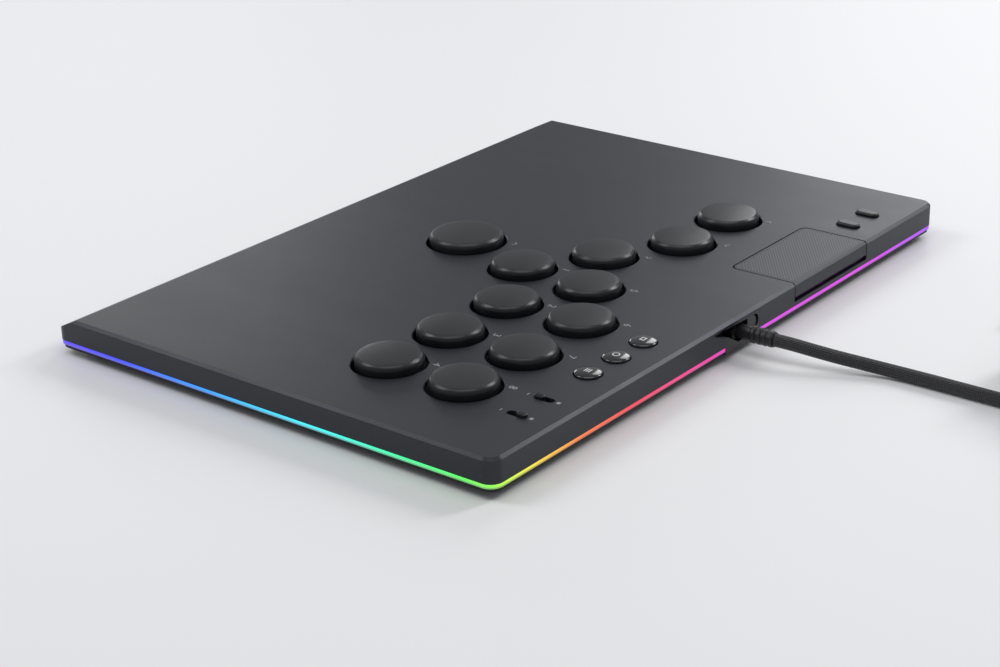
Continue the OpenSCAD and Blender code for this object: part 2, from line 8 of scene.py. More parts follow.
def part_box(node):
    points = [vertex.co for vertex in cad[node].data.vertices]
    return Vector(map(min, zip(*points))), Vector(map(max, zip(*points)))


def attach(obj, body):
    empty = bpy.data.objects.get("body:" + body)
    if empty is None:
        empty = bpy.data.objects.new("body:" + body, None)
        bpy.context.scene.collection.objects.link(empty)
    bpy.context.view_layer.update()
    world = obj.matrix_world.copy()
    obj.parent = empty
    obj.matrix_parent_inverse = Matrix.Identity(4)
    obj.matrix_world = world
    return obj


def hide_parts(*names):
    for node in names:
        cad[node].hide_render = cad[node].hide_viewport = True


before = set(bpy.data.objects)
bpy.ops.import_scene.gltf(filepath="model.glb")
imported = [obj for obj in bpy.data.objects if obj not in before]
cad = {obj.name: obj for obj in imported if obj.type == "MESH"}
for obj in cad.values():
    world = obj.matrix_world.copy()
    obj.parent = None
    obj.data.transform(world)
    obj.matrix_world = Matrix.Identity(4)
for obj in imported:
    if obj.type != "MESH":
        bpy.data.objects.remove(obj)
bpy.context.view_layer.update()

mm = 0.001
hair = 0.001 * mm       # two places this near are one place
onAxis = 0.001 * mm     # the radius that stands for a point on the axis of a turned piece
sharpAngle = 32         # edges that turn by more degrees than this are softened

shellLow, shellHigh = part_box("top_shell")
lensLow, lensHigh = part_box("light_lens")
padLow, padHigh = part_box("click_pad")
deck = shellHigh.z  # the top face
directionNames = ["left", "down", "right", "jump"]
actionNames = [f"action_{number}" for number in range(1, 9)]
menuNames = [f"menu_key_{number}" for number in range(1, 4)]
pillNames = ["pill_key_1", "pill_key_2"]
knobNames = ["slide_knob_1", "slide_knob_2"]


def middle(node):
    low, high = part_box(node)
    return (low + high) / 2


# small helpers for modelling


def deselectAll():
    if bpy.context.object and bpy.context.object.mode != "OBJECT":
        bpy.ops.object.mode_set(mode="OBJECT")
    bpy.ops.object.select_all(action="DESELECT")


def beginPiece(name, primitive, **options):
    deselectAll()
    getattr(bpy.ops.mesh, primitive)(**options)
    obj = bpy.context.object
    obj.name = obj.data.name = name
    bpy.ops.object.transform_apply(location=True, rotation=True, scale=True)
    return obj


def block(name, size, at):
    return beginPiece(name, "primitive_cube_add", size=1, location=at, scale=size)


def pick(obj, kind, test):
    # Selects the faces, edges or vertices that pass the test.
    bpy.context.view_layer.objects.active = obj
    bpy.ops.object.mode_set(mode="EDIT")
    mode = {"faces": "FACE", "edges": "EDGE", "verts": "VERT"}[kind]
    bpy.ops.mesh.select_mode(type=mode)
    bpy.ops.mesh.select_all(action="DESELECT")
    mesh = bmesh.from_edit_mesh(obj.data)
    for item in getattr(mesh, kind):
        if test(item):
            item.select_set(True)
    mesh.select_flush_mode()
    bmesh.update_edit_mesh(obj.data)


def done():
    bpy.ops.object.mode_set(mode="OBJECT")


def isUpright(edge):
    a, b = edge.verts
    return (a.co.xy - b.co.xy).length < hair


def atHeight(z):
    return lambda edge: all(abs(v.co.z - z) < hair for v in edge.verts)


def roundUprights(obj, radius, segments, test=lambda edge: True):
    pick(obj, "edges", lambda edge: isUpright(edge) and test(edge))
    bpy.ops.mesh.bevel(offset=radius, segments=segments, affect="EDGES")
    done()


def bevelRim(obj, z, width, segments):
    pick(obj, "edges", lambda edge: atHeight(z)(edge) and not edge.is_boundary
         and any(abs(face.normal.z) < 0.5 for face in edge.link_faces))
    bpy.ops.mesh.bevel(offset=width, segments=segments, affect="EDGES")
    done()


def applyModifier(obj, kind, **settings):
    deselectAll()
    obj.select_set(True)
    bpy.context.view_layer.objects.active = obj
    modifier = obj.modifiers.new("step", kind)
    for key, value in settings.items():
        setattr(modifier, key, value)
    bpy.ops.object.modifier_apply(modifier="step")


def cutAway(obj, tool, operation="DIFFERENCE"):
    applyModifier(obj, "BOOLEAN", object=tool, operation=operation, solver="EXACT")
    bpy.data.objects.remove(tool)


def joined(pieces, name):
    deselectAll()
    for piece in pieces:
        piece.select_set(True)
    bpy.context.view_layer.objects.active = pieces[0]
    bpy.ops.object.join()
    obj = bpy.context.object
    obj.name = obj.data.name = name
    return obj


def trim(obj, at, facing):
    # Cuts off what lies on the side that the plane faces, and closes the cut.
    pick(obj, "faces", lambda face: True)
    bpy.ops.mesh.bisect(plane_co=at, plane_no=facing, use_fill=True, clear_outer=True)
    done()


def softenEdges(obj, width):
    applyModifier(obj, "BEVEL", width=width, segments=2, limit_method="ANGLE",
                  angle_limit=math.radians(sharpAngle), harden_normals=False)
    smoothByAngle(obj, sharpAngle)
    flatNormals(obj)


def smoothByAngle(obj, angle):
    deselectAll()
    obj.select_set(True)
    bpy.context.view_layer.objects.active = obj
    bpy.ops.object.shade_smooth_by_angle(angle=math.radians(angle))


def flatNormals(obj):
    applyModifier(obj, "WEIGHTED_NORMAL", mode="FACE_AREA", weight=100, keep_sharp=True)


def copyTo(obj, name, offset):
    twin = obj.copy()
    twin.data = obj.data.copy()
    twin.name = twin.data.name = name
    bpy.context.scene.collection.objects.link(twin)
    twin.data.transform(Matrix.Translation(offset))
    return twin


def lathe(name, at, outline, sides, upright=True):
    # Rings extruded one from the other, from the first point of the outline to the last.
    radius, height = outline[0]
    obj = beginPiece(name, "primitive_circle_add", vertices=sides, radius=radius,
                     location=(0, 0, height))
    bpy.ops.object.mode_set(mode="EDIT")
    bpy.ops.mesh.select_all(action="SELECT")
    for nextRadius, nextHeight in outline[1:]:
        bpy.ops.mesh.extrude_edges_move(TRANSFORM_OT_translate={"value": (0, 0, nextHeight - height)})
        ratio = nextRadius / radius
        bpy.ops.transform.resize(value=(ratio, ratio, 1), center_override=(0, 0, nextHeight))
        radius, height = nextRadius, nextHeight
    bpy.ops.mesh.select_all(action="SELECT")
    bpy.ops.mesh.remove_doubles(threshold=hair)
    bpy.ops.mesh.select_all(action="SELECT")
    bpy.ops.mesh.normals_make_consistent(inside=False)
    done()
    if not upright:  # lies along +Y
        obj.data.transform(Matrix.Rotation(math.radians(-90), 4, "X"))
    obj.data.transform(Matrix.Translation(at))
    smoothByAngle(obj, 30)
    return obj


def give(obj, material):
    obj.data.materials.clear()
    obj.data.materials.append(material)
    for polygon in obj.data.polygons:
        polygon.material_index = 0


# materials


class Recipe:
    # A material and short ways to add nodes to it.

    def __init__(self, name, colour, rough, metal=0.0, **sockets):
        self.material = bpy.data.materials.new(name)
        self.material.use_nodes = True
        self.tree = self.material.node_tree
        self.shader = self.tree.nodes["Principled BSDF"]
        self.shader.inputs["Base Color"].default_value = (*colour, 1)
        self.shader.inputs["Roughness"].default_value = rough
        self.shader.inputs["Metallic"].default_value = metal
        for socket, value in sockets.items():
            self.shader.inputs[socket.replace("_", " ")].default_value = value
        self.place = self.node("ShaderNodeTexCoord").outputs["Object"]

    def node(self, kind, inputs=None, **settings):
        made = self.tree.nodes.new(kind)
        for key, value in settings.items():
            setattr(made, key, value)
        for key, value in (inputs or {}).items():
            self.set(made.inputs[key], value)
        return made

    def set(self, socket, value):
        if isinstance(value, bpy.types.NodeSocket):
            self.tree.links.new(value, socket)
        else:
            socket.default_value = value

    def math(self, operation, *values, clamp=False):
        made = self.node("ShaderNodeMath", operation=operation, use_clamp=clamp)
        for index, value in enumerate(values):
            self.set(made.inputs[index], value)
        return made.outputs[0]

    def noise(self, scale, detail, stretch=(1, 1, 1)):
        at = self.node("ShaderNodeMapping", {"Vector": self.place, "Scale": stretch}).outputs[0]
        inputs = {"Vector": at, "Scale": scale, "Detail": detail}
        return self.node("ShaderNodeTexNoise", inputs).outputs["Fac"]

    def remap(self, value, low, high, fromLow=0.3, fromHigh=0.7):
        inputs = {"Value": value, "From Min": fromLow, "From Max": fromHigh,
                  "To Min": low, "To Max": high}
        return self.node("ShaderNodeMapRange", inputs).outputs[0]

    def blendColour(self, factor, first, second):
        made = self.node("ShaderNodeMix", data_type="RGBA")
        self.set(made.inputs["Factor"], factor)
        for socket, colour in ((made.inputs[6], first), (made.inputs[7], second)):
            self.set(socket, colour if isinstance(colour, bpy.types.NodeSocket) else (*colour, 1))
        return made.outputs[2]

    def colour(self, socket):
        self.set(self.shader.inputs["Base Color"], socket)

    def rough(self, socket):
        self.set(self.shader.inputs["Roughness"], socket)

    def bump(self, height, strength, distance):
        inputs = {"Height": height, "Strength": strength, "Distance": distance}
        self.set(self.shader.inputs["Normal"], self.node("ShaderNodeBump", inputs).outputs[0])

    def apart(self):
        return self.node("ShaderNodeSeparateXYZ", {"Vector": self.place}).outputs


def grained(name, dark, pale, rough, spread, scale, bump, metal=0.0, **sockets):
    # A moulded or coated surface: cloudy tone, uneven gloss and a fine grain.
    recipe = Recipe(name, dark, rough, metal, **sockets)
    cloud = recipe.noise(scale * 0.02, 4)
    grain = recipe.noise(scale, 2)
    recipe.colour(recipe.blendColour(recipe.remap(cloud, 0, 1), dark, pale))
    recipe.rough(recipe.remap(cloud, rough - spread, rough + spread))
    recipe.bump(grain, bump, 0.00002)
    return recipe.material


def shellMaterial():
    recipe = Recipe("satinGraphite", (0.03, 0.033, 0.04), 0.4, 0.65)
    cloud = recipe.noise(9, 3)
    fleck = recipe.noise(4200, 1)
    smear = recipe.noise(40, 4, (1, 0.35, 1))
    tone = recipe.blendColour(recipe.remap(cloud, 0, 1), (0.027, 0.030, 0.036), (0.033, 0.037, 0.043))
    recipe.colour(recipe.blendColour(recipe.remap(fleck, 0, 0.25), tone, (0.075, 0.08, 0.09)))
    recipe.rough(recipe.remap(smear, 0.37, 0.43))
    recipe.bump(fleck, 0.12, 0.00001)
    return recipe.material


padPattern = {
    "across": 1.7 * mm,     # periods of the dots
    "along": 1.3 * mm,
    "border": 1.6 * mm,     # plain strip at the sides and the front
    "backBorder": 2.6 * mm,
    "depth": 0.2 * mm,      # only what lies this near the top has dots
}


def padMaterial(p):
    # Dots in staggered rows inside a plain border; the colour is painted paler towards each dot's top
    # (painted highlight) and darker in the hollows between the dots (painted shade).
    recipe = Recipe("wovenPad", (0.03, 0.033, 0.038), 0.45, 0.6)
    x, y, z = recipe.apart()
    across = recipe.math("SINE", recipe.math("MULTIPLY", x, 2 * math.pi / p["across"]))
    along = recipe.math("SINE", recipe.math("MULTIPLY", y, 2 * math.pi / p["along"]))
    dots = recipe.math("MULTIPLY", across, along)
    fromMiddle = recipe.math("ABSOLUTE", recipe.math("SUBTRACT", x, middle("click_pad").x))
    inX = recipe.math("LESS_THAN", fromMiddle, (padHigh.x - padLow.x) / 2 - p["border"])
    inFront = recipe.math("GREATER_THAN", y, padLow.y + p["border"])
    inBack = recipe.math("LESS_THAN", y, padHigh.y - p["backBorder"])
    onTop = recipe.math("GREATER_THAN", z, padHigh.z - p["depth"])
    area = recipe.math("MULTIPLY", recipe.math("MULTIPLY", inX, inFront),
                       recipe.math("MULTIPLY", inBack, onTop))
    height = recipe.math("MULTIPLY", recipe.math("ADD", dots, 1.0), area)
    # painted highlight: the colour runs paler towards the top of each dot
    paintedDotHighlight = recipe.math("POWER", recipe.math("MULTIPLY", height, 0.5, clamp=True), 2.0)
    # painted shade: inside the border the base colour is darker, and it shows in the hollows between the dots
    plain = recipe.blendColour(area, (0.036, 0.039, 0.046), (0.024, 0.026, 0.031))
    recipe.colour(recipe.blendColour(paintedDotHighlight, plain, (0.13, 0.136, 0.148)))
    recipe.rough(recipe.remap(recipe.noise(4200, 1), 0.4, 0.48))
    recipe.bump(height, 0.35, 0.0001)
    return recipe.material


glowBand = (0.5 * mm, 0.75 * mm)   # the glow fades between these heights above the lens's foot


def lensMaterial():
    # A glow whose colour runs round the slab, as far as the light goes.
    recipe = Recipe("edgeGlow", (0.5, 0.5, 0.5), 0.35)
    x, y, z = recipe.apart()
    alongX = recipe.remap(x, 0, 1, lensLow.x, lensHigh.x)
    alongY = recipe.remap(y, 0, 1, lensLow.y, lensHigh.y)

    def ramp(factor, stops):
        made = recipe.node("ShaderNodeValToRGB", {"Fac": factor})
        band = made.color_ramp
        band.elements.remove(band.elements[1])
        band.elements[0].position, band.elements[0].color = stops[0][0], (*stops[0][1], 1)
        for place, colour in stops[1:]:
            band.elements.new(place).color = (*colour, 1)
        return made.outputs[0]

    violet, blue, azure, cyan = (0.1, 0.045, 1.0), (0.013, 0.1, 1.0), (0.02, 0.3, 1.0), (0.045, 0.72, 0.87)
    mint, green, lime = (0.045, 0.87, 0.35), (0.1, 0.87, 0.1), (0.52, 0.8, 0.03)
    yellow, orange, red = (0.8, 0.58, 0.02), (0.83, 0.16, 0.02), (0.79, 0.03, 0.06)
    corner = (0.25, 0.86, 0.07)
    pink, magenta, purple = (0.75, 0.02, 0.22), (0.61, 0.017, 0.68), (0.3, 0.03, 0.87)
    rightSide = ramp(alongY, [(0.0, violet), (0.18, (0.04, 0.07, 1.0)), (0.38, azure), (0.6, cyan),
                              (0.8, mint), (0.94, green), (1.0, corner)])
    backSide = ramp(alongX, [(0.0, purple), (0.2, magenta), (0.45, magenta), (0.62, pink), (0.74, red),
                             (0.84, orange), (0.92, yellow), (0.97, lime), (1.0, corner)])
    leftSide = ramp(alongY, [(0.0, green), (0.3, (0.02, 0.9, 0.6)), (0.6, blue), (1.0, purple)])
    frontSide = ramp(alongX, [(0.0, lime), (0.2, yellow), (0.4, orange), (0.6, red), (0.8, magenta),
                              (1.0, violet)])
    nearX = recipe.math("SUBTRACT", recipe.math("ABSOLUTE", x), lensHigh.x)
    nearY = recipe.math("SUBTRACT", recipe.math("ABSOLUTE", y), lensHigh.y)
    onSide = recipe.math("GREATER_THAN", nearX, nearY)
    ends = recipe.blendColour(recipe.math("GREATER_THAN", x, 0.0), leftSide, rightSide)
    longs = recipe.blendColour(recipe.math("GREATER_THAN", y, 0.0), frontSide, backSide)
    glow = recipe.blendColour(onSide, longs, ends)
    recipe.colour(recipe.blendColour(0.8, glow, (0.02, 0.02, 0.02)))
    lower = recipe.remap(z, 1.0, 0.0, lensLow.z + glowBand[0], lensLow.z + glowBand[1])
    recipe.set(recipe.shader.inputs["Emission Color"], recipe.blendColour(
        recipe.math("MULTIPLY", lower, 0.25), glow, (0.5, 0.45, 0.5)))
    strength = recipe.math("MULTIPLY_ADD", lower, -0.55, 1.15)
    recipe.set(recipe.shader.inputs["Emission Strength"], strength)
    recipe.bump(recipe.noise(900, 2), 0.1, 0.00002)
    return recipe.material


def cordMaterial():
    # Two sets of strands that cross, drawn on the cord's own UV map.
    recipe = Recipe("braidedJacket", (0.02, 0.021, 0.023), 0.6, Sheen_Weight=0.15)
    uv = recipe.node("ShaderNodeTexCoord").outputs["UV"]
    u, v = recipe.node("ShaderNodeSeparateXYZ", {"Vector": uv}).outputs[:2]
    strands, pitch = 10, 8.5 * mm
    around = recipe.math("MULTIPLY", u, strands * 2 * math.pi)
    along = recipe.math("MULTIPLY", v, strands * math.pi / pitch)
    right = recipe.math("SINE", recipe.math("ADD", around, along))
    left = recipe.math("SINE", recipe.math("SUBTRACT", around, along))
    weave = recipe.math("MULTIPLY", right, left)
    height = recipe.math("MULTIPLY_ADD", weave, 0.5, 0.5)
    thread = recipe.noise(5200, 2)
    pale = recipe.blendColour(thread, (0.022, 0.0225, 0.025), (0.045, 0.046, 0.05))
    recipe.colour(recipe.blendColour(recipe.remap(height, 0, 1, 0.25, 0.9), (0.003, 0.003, 0.004), pale))
    recipe.rough(recipe.remap(thread, 0.5, 0.75))
    recipe.bump(height, 0.9, 0.0004)
    return recipe.material


def metalMaterial(name, colour, rough):
    recipe = Recipe(name, colour, rough, 1.0)
    streak = recipe.noise(300, 3, (1, 0.08, 1))
    recipe.rough(recipe.remap(streak, rough * 0.7, rough * 1.4))
    recipe.colour(recipe.blendColour(streak, tuple(part * 0.8 for part in colour), colour))
    recipe.bump(streak, 0.1, 0.00001)
    return recipe.material


def wovenMaterial(name, dark, pale, pitch):
    recipe = Recipe(name, dark, 0.8, Sheen_Weight=0.3)
    x, y, z = recipe.apart()
    waves = [recipe.math("SINE", recipe.math("MULTIPLY", place, 2 * math.pi / pitch))
             for place in (recipe.math("ADD", x, z), recipe.math("SUBTRACT", y, z))]
    level = recipe.math("MULTIPLY_ADD", recipe.math("MULTIPLY", *waves), 0.5, 0.5)
    recipe.colour(recipe.blendColour(level, dark, pale))
    recipe.bump(level, 0.5, 0.0001)
    return recipe.material


def boardMaterial():
    recipe = Recipe("darkLacquer", (0.006, 0.012, 0.009), 0.35, Coat_Weight=0.4)
    bricks = recipe.node("ShaderNodeTexBrick", {
        "Vector": recipe.place, "Scale": 160.0, "Mortar Size": 0.03, "Color1": (0.006, 0.012, 0.009, 1),
        "Color2": (0.004, 0.009, 0.007, 1), "Mortar": (0.015, 0.026, 0.02, 1)})
    recipe.colour(bricks.outputs["Color"])
    recipe.bump(bricks.outputs["Fac"], 0.2, 0.00004)
    return recipe.material


def matMaterial():
    recipe = Recipe("ribbedRubber", (0.012, 0.012, 0.013), 0.8)
    cells = recipe.node("ShaderNodeTexVoronoi", {"Vector": recipe.place, "Scale": 420.0},
                        feature="DISTANCE_TO_EDGE")
    edge = recipe.remap(cells.outputs["Distance"], 0, 1, 0.02, 0.16)
    recipe.colour(recipe.blendColour(edge, (0.022, 0.022, 0.023), (0.010, 0.010, 0.011)))
    recipe.bump(edge, 0.5, 0.0002)
    return recipe.material


shellFinish = shellMaterial()
padFinish = padMaterial(padPattern)
lensFinish = lensMaterial()
cordFinish = cordMaterial()
capFinish = grained("satinBlack", (0.008, 0.0085, 0.010), (0.012, 0.0125, 0.014), rough=0.33, spread=0.04,
                    scale=2600, bump=0.12, Specular_IOR_Level=0.4)
keyFinish = grained("glossBlack", (0.006, 0.006, 0.007), (0.010, 0.010, 0.011), rough=0.14, spread=0.03,
                    scale=1500, bump=0.05, Coat_Weight=0.6, Coat_Roughness=0.06)
portFinish = grained("satinPort", (0.018, 0.019, 0.022), (0.024, 0.025, 0.029), rough=0.45, spread=0.06,
                     scale=3000, bump=0.2)
plugFinish = grained("mouldedPlug", (0.010, 0.010, 0.011), (0.016, 0.016, 0.018), rough=0.42, spread=0.07,
                     scale=2800, bump=0.3)
baseFinish = grained("mattBase", (0.010, 0.0105, 0.012), (0.015, 0.0155, 0.017), rough=0.55, spread=0.05,
                     scale=2400, bump=0.4, metal=0.2)
switchFinish = grained("greySwitch", (0.03, 0.03, 0.034), (0.045, 0.045, 0.05), rough=0.5, spread=0.05,
                       scale=2200, bump=0.2)
stemFinish = grained("redStem", (0.30, 0.02, 0.015), (0.36, 0.03, 0.02), rough=0.4, spread=0.05,
                     scale=2000, bump=0.1)
chipFinish = grained("chipEpoxy", (0.012, 0.012, 0.013), (0.02, 0.02, 0.021), rough=0.5, spread=0.05,
                     scale=3000, bump=0.3)
stripFinish = grained("whiteStrip", (0.6, 0.6, 0.6), (0.75, 0.75, 0.75), rough=0.5, spread=0.05,
                      scale=2000, bump=0.1)
printFinish = grained("greyPrint", (0.22, 0.225, 0.235), (0.28, 0.285, 0.295), rough=0.6, spread=0.05,
                      scale=3000, bump=0.2)
legendFinish = grained("whiteLegend", (0.6, 0.6, 0.62), (0.75, 0.75, 0.77), rough=0.5, spread=0.05,
                       scale=3000, bump=0.2)
steelFinish = metalMaterial("brightSteel", (0.62, 0.62, 0.64), 0.25)
screwFinish = metalMaterial("darkScrew", (0.14, 0.14, 0.15), 0.35)
strapFinish = wovenMaterial("wovenStrap", (0.006, 0.006, 0.007), (0.03, 0.03, 0.032), 0.9 * mm)
boardFinish = boardMaterial()
rubberFinish = matMaterial()
print("materials made")

# camera, at the height and angle of a person standing beside the desk

cameraView = {
    "back": 128.894,       # direction from the object to the camera, in degrees
    "height": 23.276,      # degrees above the table
    "tilt": -1.502,        # roll, in degrees
    "target": (0.0656, 0.04284, 0.0152),
    "distance": 0.78293,
    "lens": 77.777,        # millimetres, on a sensor of the next width
    "sensor": 36,
    "clipEnd": 60,
}


def addCamera(view):
    side, lift, roll = (math.radians(view[key]) for key in ("back", "height", "tilt"))
    back = Vector((math.sin(side) * math.cos(lift), -math.cos(side) * math.cos(lift), math.sin(lift)))
    right = Vector((0, 0, 1)).cross(back).normalized()
    up = back.cross(right)
    turnedRight = right * math.cos(roll) + up * math.sin(roll)
    turnedUp = up * math.cos(roll) - right * math.sin(roll)
    data = bpy.data.cameras.new("deskCamera")
    data.lens, data.sensor_width, data.clip_end = view["lens"], view["sensor"], view["clipEnd"]
    camera = bpy.data.objects.new("deskCamera", data)
    bpy.context.scene.collection.objects.link(camera)
    turn = Matrix((turnedRight, turnedUp, back)).transposed().to_4x4()
    camera.matrix_world = Matrix.Translation(Vector(view["target"]) + back * view["distance"]) @ turn
    bpy.context.scene.camera = camera


addCamera(cameraView)

# cable

cable = {
    "diameter": 5 * mm,
    # from here on in millimetres: the same points and radii as the construction source has
    "route": [(0, 119, 8.33), (-0.8, 126, 8), (-2.6, 134, 6.9), (-5.4, 142, 5.4), (-8.4, 150, 4),
              (-10.6, 157, 3), (-11.8, 165, 2.5), (-12, 176, 2.5), (-12, 188, 2.5), (-12, 200, 2.5),
              (-12, 212, 2.5), (-12, 222, 2.9), (-12, 232, 3.3)],
    "coilAt": (-46.5, 232),
    "turnsAcross": 4,
    "layers": 4,
    "coilRadius": 27,
    "strap": 0.8,           # thickness of the strap under the coil
    "tailRadius": 40,
    "tailStraight": 6,
    "tailStep": 6,          # degrees between the points of the tail's half turn
    "stepsPerTurn": 36,
    "stepOver": 0.75,       # the share of a turn after which it moves to the next place
    "sides": 14,
}


def between(a, b, amount):
    return a + (b - a) * amount


def eased(amount):
    return amount * amount * (3 - 2 * amount)


def smoothLine(points, parts=3):
    # Catmull-Rom through the given points.
    line = []
    for index in range(len(points) - 1):
        p0 = points[max(index - 1, 0)]
        p1, p2 = points[index], points[index + 1]
        p3 = points[min(index + 2, len(points) - 1)]
        for part in range(parts):
            t = part / parts
            line.append(0.5 * (2 * p1 + (p2 - p0) * t + (2 * p0 - 5 * p1 + 4 * p2 - p3) * t * t
                               + (3 * p1 - p0 - 3 * p2 + p3) * t ** 3))
    return line + [points[-1]]


def coilLine(c):
    # Turns wound in and out in layers, each turn stepping over to the next near its end.
    size = c["diameter"] / mm
    outer = c["coilRadius"] + (c["turnsAcross"] - 1) * size / 2
    places = []
    for layer in range(c["layers"]):
        columns = range(c["turnsAcross"]) if layer % 2 == 0 else reversed(range(c["turnsAcross"]))
        places += [(outer - column * size, c["strap"] + size / 2 + layer * size) for column in columns]
    places.append(places[-1])
    cx, cy = c["coilAt"]
    line = []
    for (radius, height), (nextRadius, nextHeight) in zip(places, places[1:]):
        for step in range(c["stepsPerTurn"]):
            share = step / c["stepsPerTurn"]
            move = eased(max(0.0, (share - c["stepOver"]) / (1 - c["stepOver"])))
            r, z = between(radius, nextRadius, move), between(height, nextHeight, move)
            angle = 2 * math.pi * share
            line.append(Vector((cx + r * math.cos(angle), cy + r * math.sin(angle), z)))
    return line, places[-1]


def tailLine(c, start):
    # Half a turn that comes down to the table and widens in its first third.
    radius, height = start
    cx, cy = c["coilAt"]
    rest = c["diameter"] / mm / 2
    line = []
    for degrees in range(0, 181, c["tailStep"]):
        share = degrees / 180
        r = between(radius, c["tailRadius"], min(1, share * 3))
        z = rest + (height - rest) * (1 + math.cos(math.pi * share)) / 2
        angle = math.radians(degrees)
        line.append(Vector((cx + r * math.cos(angle), cy + r * math.sin(angle), z)))
    return line + [Vector((cx - c["tailRadius"], cy - c["tailStraight"], rest))]


def tube(name, line, radius, sides):
    # A closed mesh tube along a line, with a UV map that runs in metres along it.
    rings, faces, along = [], [], [0.0]
    for index, point in enumerate(line):
        ahead = line[min(index + 1, len(line) - 1)] - line[max(index - 1, 0)]
        side = ahead.cross(Vector((0, 0, 1))).normalized()
        up = side.cross(ahead).normalized()
        for part in range(sides):
            angle = 2 * math.pi * part / sides
            rings.append(point + radius * (math.cos(angle) * side + math.sin(angle) * up))
        if index:
            along.append(along[-1] + (point - line[index - 1]).length)
    for index in range(len(line) - 1):
        for part in range(sides):
            other = (part + 1) % sides
            a, b = index * sides, (index + 1) * sides
            faces.append((a + part, a + other, b + other, b + part))
    last = (len(line) - 1) * sides
    faces.append(tuple(reversed(range(sides))))
    faces.append(tuple(last + part for part in range(sides)))
    mesh = bpy.data.meshes.new(name)
    mesh.from_pydata([tuple(v) for v in rings], [], faces)
    layer = mesh.uv_layers.new(name="UVMap").data
    for polygon in mesh.polygons[:-2]:
        index, part = divmod(polygon.index, sides)
        corners = [(part, index), (part + 1, index), (part + 1, index + 1), (part, index + 1)]
        for loop, (column, row) in zip(polygon.loop_indices, corners):
            layer[loop].uv = (column / sides, along[row])
    obj = bpy.data.objects.new(name, mesh)
    bpy.context.scene.collection.objects.link(obj)
    deselectAll()
    bpy.context.view_layer.objects.active = obj
    obj.select_set(True)
    bpy.ops.object.mode_set(mode="EDIT")
    bpy.ops.mesh.select_all(action="SELECT")
    bpy.ops.mesh.normals_make_consistent(inside=False)
    done()
    smoothByAngle(obj, 60)
    return obj, along[-1]


def makeCable(c):
    route = smoothLine([Vector(point) for point in c["route"]])
    turns, end = coilLine(c)
    line = [point * mm for point in route[:-1] + turns + tailLine(c, end)]
    obj, length = tube("braidedCable", line, c["diameter"] / 2, c["sides"])
    give(obj, cordFinish)
    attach(obj, "case")
    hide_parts("cable", "cable_coil", "cable_tail")
    print(f"cable is {length:.2f} m long")
    return obj, line, length


cableObj, cablePath, cableLength = makeCable(cable)
print("cable laid")

# top shell

menuFlange = 1.1 * mm       # how far each menu key's hidden flange stands out
pillFlange = 0.55 * mm
stadiumSpare = 0.01 * mm    # a stadium's ends are rounded by this much less than half its width

shell = {
    "wall": 1.8 * mm,
    "corner": 5 * mm,
    "bevel": 1.1 * mm,
    "slopeDepth": 11 * mm,
    "slopeDrop": 5.5 * mm,
    "past": 1 * mm,         # how far the hollow's tools reach out of the open bottom
    "buttonGap": 1.35 * mm,
    "menuGap": 0.4 * mm,
    "pillLess": 0.5 * mm,   # a pill key's slot is this much smaller than its flange
    "slideSlot": (8.4 * mm, 3.2 * mm),
    "holeDepth": 8 * mm,    # of the tools that go through the top
    "rim": 0.4 * mm,        # countersink round each button's hole
    "padGap": 0.35 * mm,
    "padReach": 40 * mm,    # from the opening's front edge to past the back wall
    "padCorner": 3 * mm,
    "lipSlot": (6 * mm, 20 * mm),       # depth and height of the tool
    "wallUnderLip": 1.7 * mm,
    "shoulder": (10.1 * mm, 5.2 * mm),  # width and depth of the solid beside the port
    "shoulderIn": 3.4 * mm,             # from the back wall's outside to its middle
    "bite": 0.2 * mm,                   # how far it goes into the top
    "portGap": 0.2 * mm,                # both sides together
    "portDepth": 8 * mm,
    "portIn": 2.6 * mm,
    "edge": 0.12 * mm,      # last softening of every edge
}

scoop = {
    "size": (22.6 * mm, 12 * mm, 9 * mm),
    "right": 8.2 * mm,      # from the plug's middle
    "up": 1.2 * mm,
    "floorAt": (9.6 * mm, 0.9 * mm),    # a point that the sloping floor goes through
    "floorFacing": (0.36, 0, -1),
    "endAt": 19.6 * mm,
    "endFacing": (0.37, -0.93, 0),
    "roof": 2.0 * mm,       # metal that stays above it
}


def stadiumTool(name, x, y, length, width, z, depth):
    tool = block(name, (width, length, depth), (x, y, z))
    roundUprights(tool, width / 2 - stadiumSpare, 10)
    return tool


def shellBlank(s, low):
    body = block("topShell", shellHigh - low, (low + shellHigh) / 2)
    roundUprights(body, s["corner"], 12)
    bevelRim(body, deck, s["bevel"], 1)
    trim(body, (0, low.y + s["slopeDepth"], deck),
         Vector((0, -s["slopeDrop"], s["slopeDepth"])).normalized())
    return body


def hollowShell(body, s, low):
    # Full height behind the slope, lower under it.
    size = shellHigh - low
    wall, ceiling = s["wall"], deck - s["wall"]
    front, back = low.y + s["slopeDepth"] + wall, shellHigh.y - wall
    cutAway(body, block("hollow", (size.x - 2 * wall, back - front, ceiling - low.z + s["past"]),
                        (0, (back + front) / 2, (ceiling + low.z - s["past"]) / 2)))
    lowTop = deck - s["slopeDrop"] - wall
    cutAway(body, block("lowHollow", (size.x - 2 * wall, size.y - 2 * wall, lowTop - low.z + s["past"]),
                        (0, 0, (lowTop + low.z - s["past"]) / 2)))


